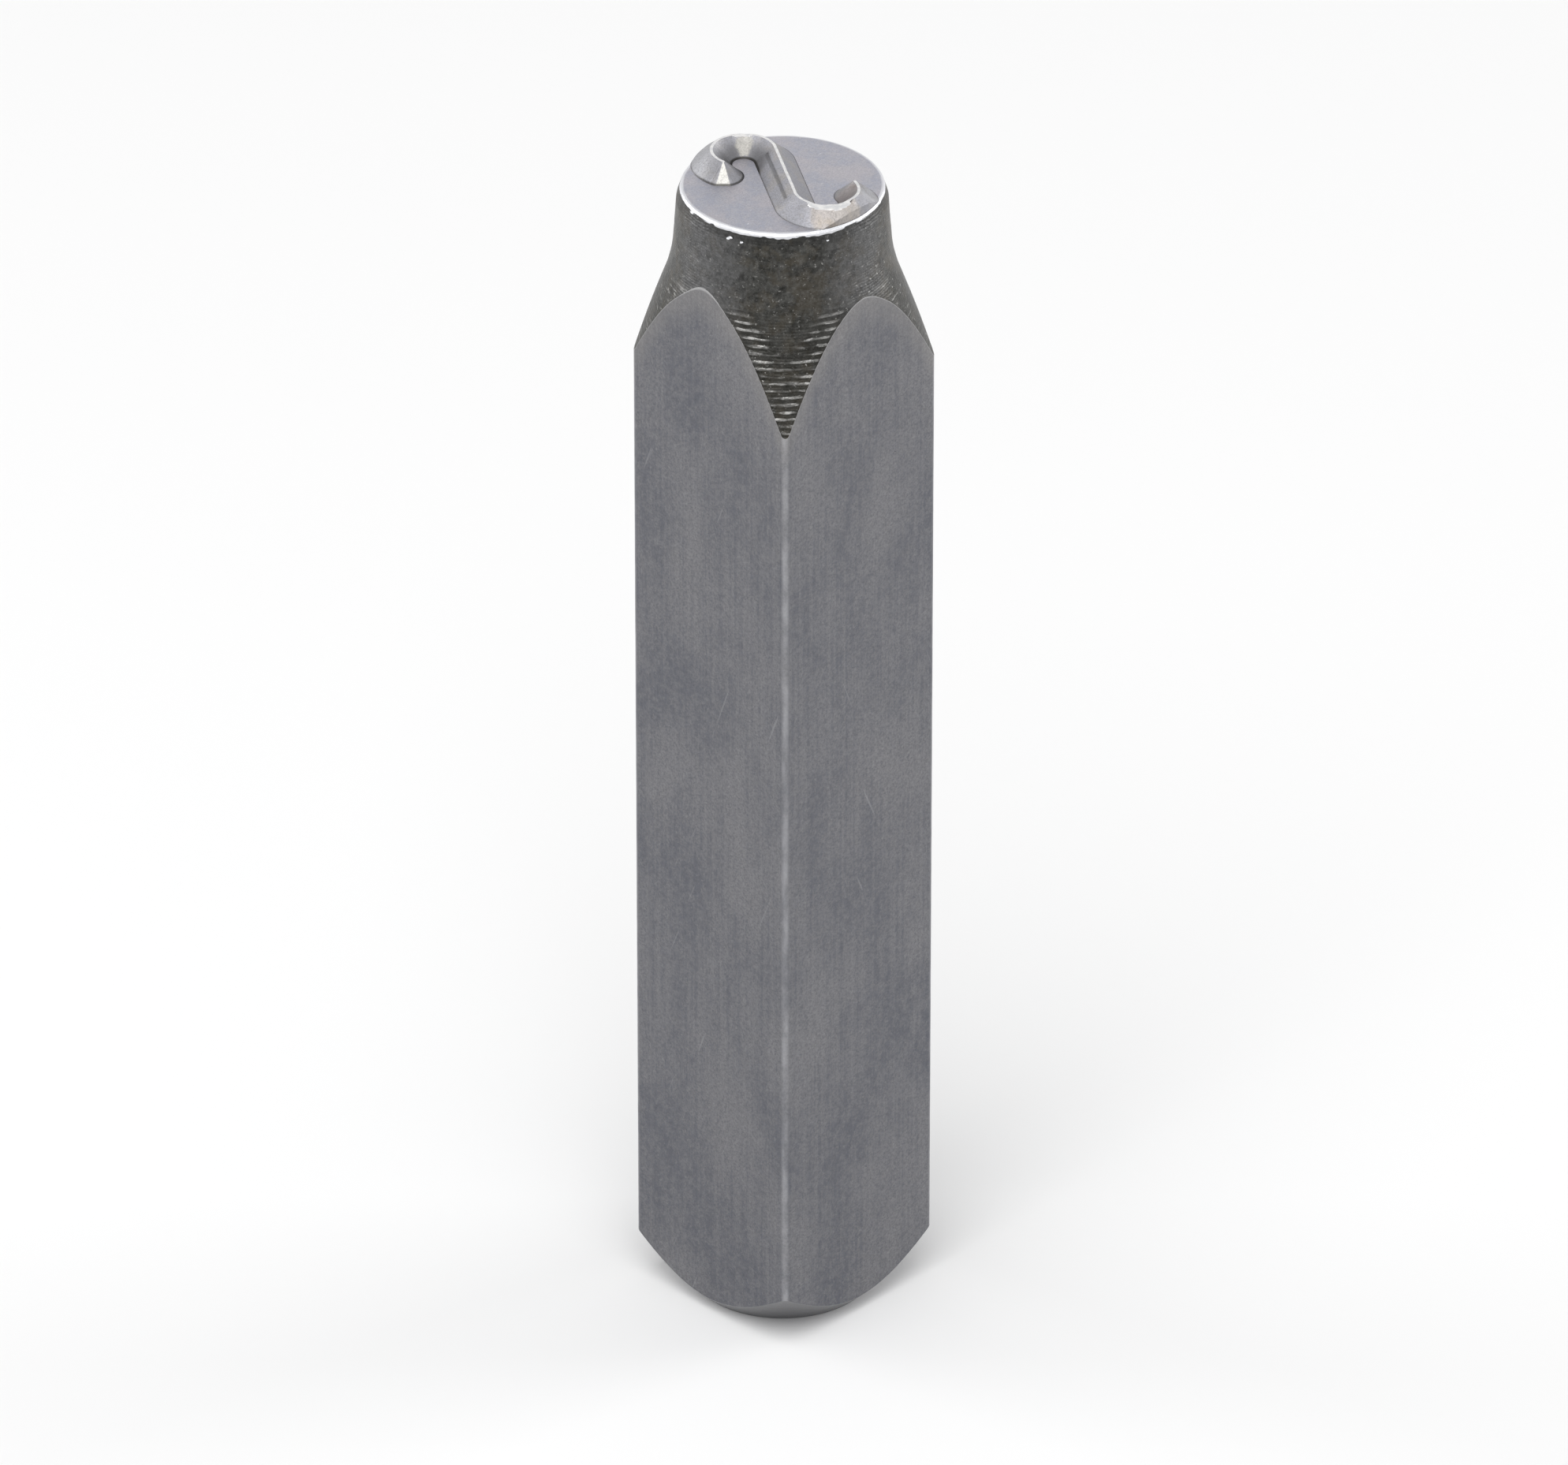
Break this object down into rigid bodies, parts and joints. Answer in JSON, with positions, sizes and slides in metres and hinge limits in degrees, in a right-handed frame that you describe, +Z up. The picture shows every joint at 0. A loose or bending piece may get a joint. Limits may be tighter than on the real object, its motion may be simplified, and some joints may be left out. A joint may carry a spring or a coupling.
{
  "type": "letter punch",
  "caption": "Square steel hand punch with a turned neck and a raised, mirrored letter on its round face, for stamping a letter into metal.",
  "frame": {"origin": "centre of the round flat on the struck end, which is what the punch stands on", "axes": "+Z up the bar from the struck end to the letter, +Y towards the top of the letter, +X and +Y square to the flats of the bar"},
  "size_m": [0.0126, 0.0126, 0.075],
  "materials": {
    "tool_steel": "hardened and tempered tool steel: matt grey flats, darker turned neck, ground face"
  },
  "bodies": {
    "root": {"letter_punch": "tool_steel"}
  },
  "joints": []
}
